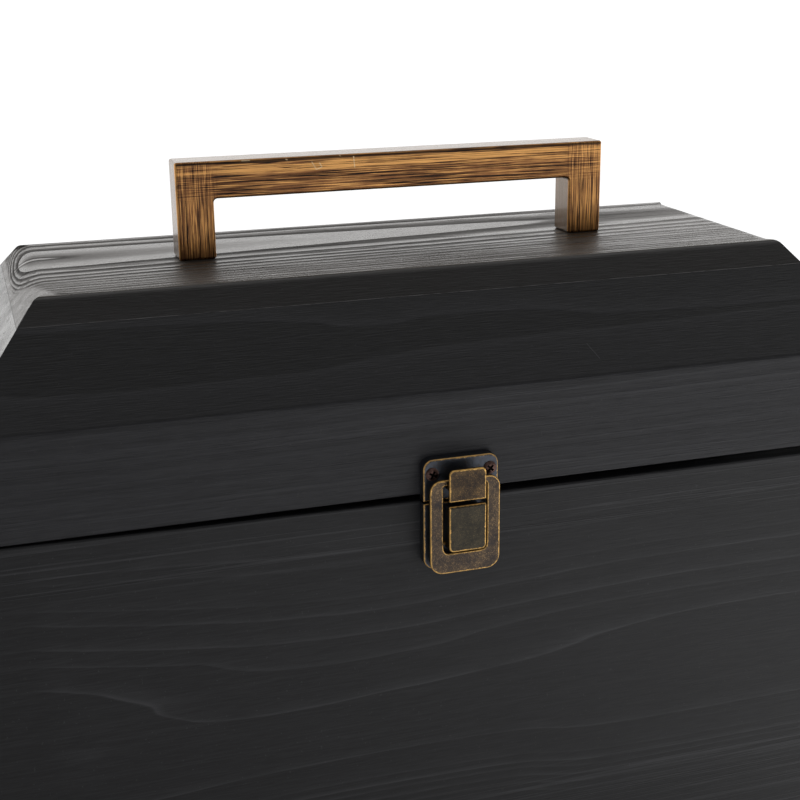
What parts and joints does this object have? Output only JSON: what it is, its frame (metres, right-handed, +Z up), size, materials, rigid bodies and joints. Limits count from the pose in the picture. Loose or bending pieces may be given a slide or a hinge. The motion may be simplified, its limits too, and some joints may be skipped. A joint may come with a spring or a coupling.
{
  "type": "deed box",
  "caption": "Black-stained wooden deed box: mitred body, hinged hip-sloped lid with a flat top, square bar handle and an over-centre draw latch at the front.",
  "frame": {"origin": "middle of the underside, where the box stands", "axes": "+X along the front to the right as seen from the front, +Y from the front to the hinged back, +Z up"},
  "size_m": [0.2818, 0.1443, 0.241],
  "materials": {
    "stained_wood": "softwood stained black, matt, with the grain raised",
    "bottom_wood": "stained plywood, matt",
    "antique_bronze": "antique bronze, brushed and rubbed through at the edges",
    "antique_brass": "antique brass, blackened, with bright rubbed edges",
    "dark_copper": "dark copper plating",
    "hinge_brass": "antique brass, satin",
    "plated_steel": "zinc-plated steel"
  },
  "bodies": {
    "body": {"body_front_board": "stained_wood", "body_back_board": "stained_wood", "body_left_end": "stained_wood", "body_right_end": "stained_wood", "body_bottom_panel": "bottom_wood", "latch_base_plate": "antique_brass", "latch_base_screws": "dark_copper", "lever_pin": "antique_brass", "hinge_body_leaf_left": "hinge_brass", "hinge_body_leaf_right": "hinge_brass", "hinge_pin_left": "hinge_brass", "hinge_pin_right": "hinge_brass", "hinge_body_screws": "hinge_brass"},
    "lid": {"lid_front_rail": "stained_wood", "lid_back_rail": "stained_wood", "lid_left_rail": "stained_wood", "lid_right_rail": "stained_wood", "lid_front_slope": "stained_wood", "lid_back_slope": "stained_wood", "lid_left_slope": "stained_wood", "lid_right_slope": "stained_wood", "lid_top_board": "stained_wood", "carry_handle": "antique_bronze", "handle_screws": "plated_steel", "strike_plate": "antique_brass", "strike_screws": "dark_copper", "hinge_lid_leaf_left": "hinge_brass", "hinge_lid_leaf_right": "hinge_brass", "hinge_lid_screws": "hinge_brass"},
    "latch_lever": {"latch_lever": "antique_brass"},
    "draw_ring": {"draw_ring": "antique_brass", "ring_pin": "antique_brass"}
  },
  "joints": [
    {"name": "lid_hinge", "type": "hinge", "parent": "body", "child": "lid", "pos_m": [0, 0.0675, 0.15015], "axis": [-1, 0, 0], "range_deg": [0, 187]},
    {"name": "latch_lever", "type": "hinge", "parent": "body", "child": "latch_lever", "pos_m": [-0.00255, -0.0721, 0.1463], "axis": [-1, 0, 0], "range_deg": [0, 95]},
    {"name": "draw_ring", "type": "hinge", "parent": "latch_lever", "child": "draw_ring", "pos_m": [-0.00255, -0.0708, 0.1366], "axis": [-1, 0, 0], "range_deg": [-54, 0]}
  ],
  "couplings": [
    {"joint": "draw_ring", "follows": "latch_lever", "ratio": -0.565}
  ]
}
